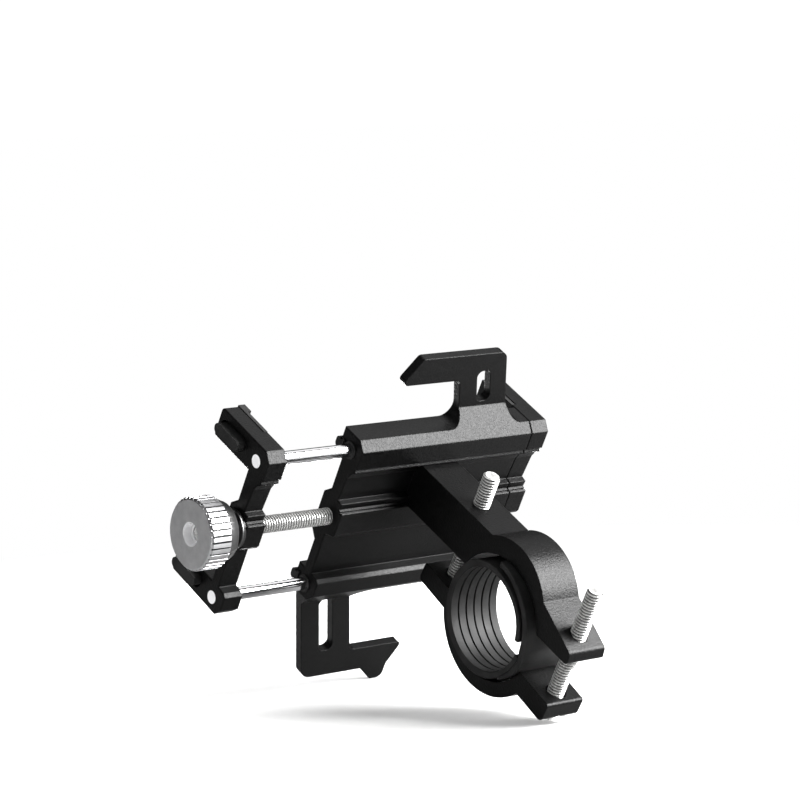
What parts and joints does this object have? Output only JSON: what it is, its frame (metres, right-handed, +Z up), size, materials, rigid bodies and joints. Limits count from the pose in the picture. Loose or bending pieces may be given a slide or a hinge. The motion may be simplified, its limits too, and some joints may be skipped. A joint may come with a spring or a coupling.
{
  "type": "phone mount for a bicycle handlebar",
  "caption": "Aluminium handlebar mount that grips a phone between screw-driven claw jaws, with band hooks above and below and a split clamp lined with rubber shims.",
  "frame": {"origin": "centre of the handlebar, midway across the clamp", "axes": "+X along the handlebar towards the fixed jaw, +Y forwards from the rider, +Z up; the phone leans back 30.5 degrees about X"},
  "size_m": [0.0942, 0.0925, 0.0803],
  "materials": {
    "black_aluminium": "satin black anodised",
    "chrome_steel": "polished",
    "zinc_steel": "bright zinc plated",
    "bare_aluminium": "fine turned",
    "black_steel": "black oxide",
    "black_rubber": "matte",
    "shim_rubber": "matte",
    "black_plastic": "matte"
  },
  "bodies": {
    "frame": {"body": "black_aluminium", "rod_bushes": "black_plastic", "fixed_jaw": "black_aluminium", "fixed_jaw_screws": "black_steel", "fixed_pad_upper": "black_rubber", "fixed_pad_lower": "black_rubber", "rest_strip_upper": "black_rubber", "rest_strip_lower": "black_rubber", "clamp_arm": "black_aluminium", "arm_screw": "black_steel", "outer_shim": "shim_rubber", "inner_shim": "shim_rubber"},
    "moving_jaw": {"moving_jaw": "black_aluminium", "moving_pad_upper": "black_rubber", "moving_pad_lower": "black_rubber", "guide_rod_upper": "chrome_steel", "guide_rod_lower": "chrome_steel", "nylon_washer": "black_plastic"},
    "knob": {"knob": "bare_aluminium", "knob_washer": "bare_aluminium", "lead_screw": "zinc_steel", "retaining_clip": "zinc_steel"},
    "strap": {"clamp_strap": "black_aluminium"},
    "bolt_front": {"clamp_bolt_front": "zinc_steel"},
    "bolt_rear": {"clamp_bolt_rear": "zinc_steel"}
  },
  "joints": [
    {"name": "jaw_slide", "type": "slide", "parent": "frame", "child": "moving_jaw", "axis": [-1, 0, 0], "range_m": [-0.02, 0.018]},
    {"name": "knob_spin", "type": "hinge", "parent": "moving_jaw", "child": "knob", "pos_m": [-0.0507, 0.03196, 0.02219], "axis": [-1, 0, 0], "range_deg": [-10300, 9300]},
    {"name": "strap_slide", "type": "slide", "parent": "frame", "child": "strap", "axis": [0, 0.5075, -0.8616], "range_m": [0, 0.006]},
    {"name": "bolt_front_spin", "type": "hinge", "parent": "strap", "child": "bolt_front", "pos_m": [0, 0.02028, 0.00301], "axis": [0, 0.5075, -0.8616], "range_deg": [0, 3100]},
    {"name": "bolt_rear_spin", "type": "hinge", "parent": "strap", "child": "bolt_rear", "pos_m": [0, -0.0123, -0.0199], "axis": [0, 0.5075, -0.8616], "range_deg": [0, 3100]}
  ],
  "couplings": [
    {"joint": "knob_spin", "follows": "jaw_slide", "rad_per_m": 8976},
    {"joint": "bolt_front_spin", "follows": "strap_slide", "rad_per_m": 8976},
    {"joint": "bolt_rear_spin", "follows": "strap_slide", "rad_per_m": 8976}
  ]
}
